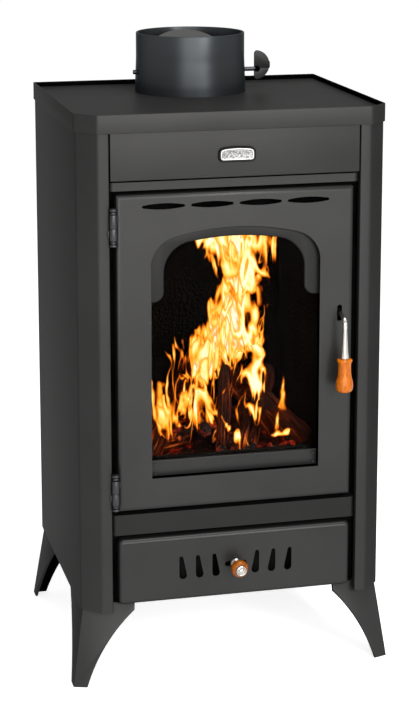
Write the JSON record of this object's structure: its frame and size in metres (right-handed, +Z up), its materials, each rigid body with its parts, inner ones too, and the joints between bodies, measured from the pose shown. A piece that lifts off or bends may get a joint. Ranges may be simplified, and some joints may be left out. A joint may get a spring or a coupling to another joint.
{
  "type": "wood burning stove",
  "caption": "Free-standing sheet steel stove with a glazed swing door, ash drawer with air shutter, flat top tray and a round flue collar with a damper, on splayed legs.",
  "frame": {"origin": "on the floor under the middle of the whole stove's box", "axes": "+Z up along the flue, -Y out of the door, +X to the right seen from the front"},
  "size_m": [0.425, 0.3854, 0.82],
  "materials": {
    "stove_paint": "matt heat-proof paint",
    "door_paint": "satin heat-proof paint",
    "firebox_steel": "sooted steel",
    "zinc_steel": "zinc plated",
    "chrome": "polished",
    "lacquered_wood": "gloss lacquer",
    "firebrick": "sooted vermiculite",
    "cast_iron": "raw casting",
    "seal_rope": "knitted glass rope",
    "stove_glass": "clear ceramic glass",
    "badge_metal": "cast and polished"
  },
  "bodies": {
    "stove": {"leg_front_left": "stove_paint", "leg_front_right": "stove_paint", "leg_rear_left": "stove_paint", "leg_rear_right": "stove_paint", "casing_left": "stove_paint", "casing_right": "stove_paint", "casing_back": "stove_paint", "fascia_panel": "stove_paint", "top_rim": "stove_paint", "top_plate": "stove_paint", "flue_collar": "stove_paint", "head_rail": "stove_paint", "middle_rail": "stove_paint", "casing_knuckles": "stove_paint", "hinge_pins": "stove_paint", "base_plate": "firebox_steel", "firebox_front": "firebox_steel", "firebox_left": "firebox_steel", "firebox_right": "firebox_steel", "firebox_back": "firebox_steel", "firebox_crown": "firebox_steel", "hearth_plate": "firebox_steel", "baffle_brackets": "firebox_steel", "drawer_runners": "firebox_steel", "latch_keeper": "firebox_steel", "leg_fasteners": "zinc_steel", "casing_screws": "zinc_steel", "side_brick_left": "firebrick", "side_brick_right": "firebrick", "back_brick": "firebrick", "baffle_plate": "firebrick", "fire_grate": "cast_iron", "log_guard": "cast_iron", "badge_plate": "badge_metal"},
    "door": {"door_panel": "door_paint", "door_knuckles": "stove_paint", "window_trim": "door_paint", "glass_sill": "door_paint", "glass_pane": "stove_glass", "glass_gasket": "seal_rope", "glass_frame": "firebox_steel", "frame_screws": "zinc_steel", "door_seal": "seal_rope", "handle_ears": "firebox_steel", "handle_pin": "zinc_steel"},
    "handle": {"handle_rod": "chrome", "handle_cone": "chrome", "handle_grip": "lacquered_wood"},
    "drawer": {"drawer_front": "door_paint", "ash_box": "firebox_steel", "shutter_guides": "firebox_steel"},
    "shutter": {"shutter_plate": "firebox_steel", "knob_stem": "chrome", "knob_ferrule": "chrome", "wooden_knob": "lacquered_wood", "knob_cap": "chrome"},
    "damper": {"damper_disc": "stove_paint", "damper_spindle": "stove_paint", "damper_flag": "stove_paint", "damper_screws": "zinc_steel"}
  },
  "joints": [
    {"name": "door_swing", "type": "hinge", "parent": "stove", "child": "door", "pos_m": [-0.158, -0.16092, 0.43], "axis": [0, 0, -1], "range_deg": [0, 110]},
    {"name": "handle_lift", "type": "hinge", "parent": "door", "child": "handle", "pos_m": [0.1365, -0.15029, 0.483], "axis": [-1, 0, 0], "range_deg": [-5, 40]},
    {"name": "drawer_slide", "type": "slide", "parent": "stove", "child": "drawer", "axis": [0, -1, 0], "range_m": [0, 0.25]},
    {"name": "shutter_slide", "type": "slide", "parent": "drawer", "child": "shutter", "axis": [1, 0, 0], "range_m": [-0.011, 0.011]},
    {"name": "damper_turn", "type": "hinge", "parent": "stove", "child": "damper", "pos_m": [0, 0.09571, 0.767], "axis": [1, 0, 0], "range_deg": [-52, 38]}
  ]
}
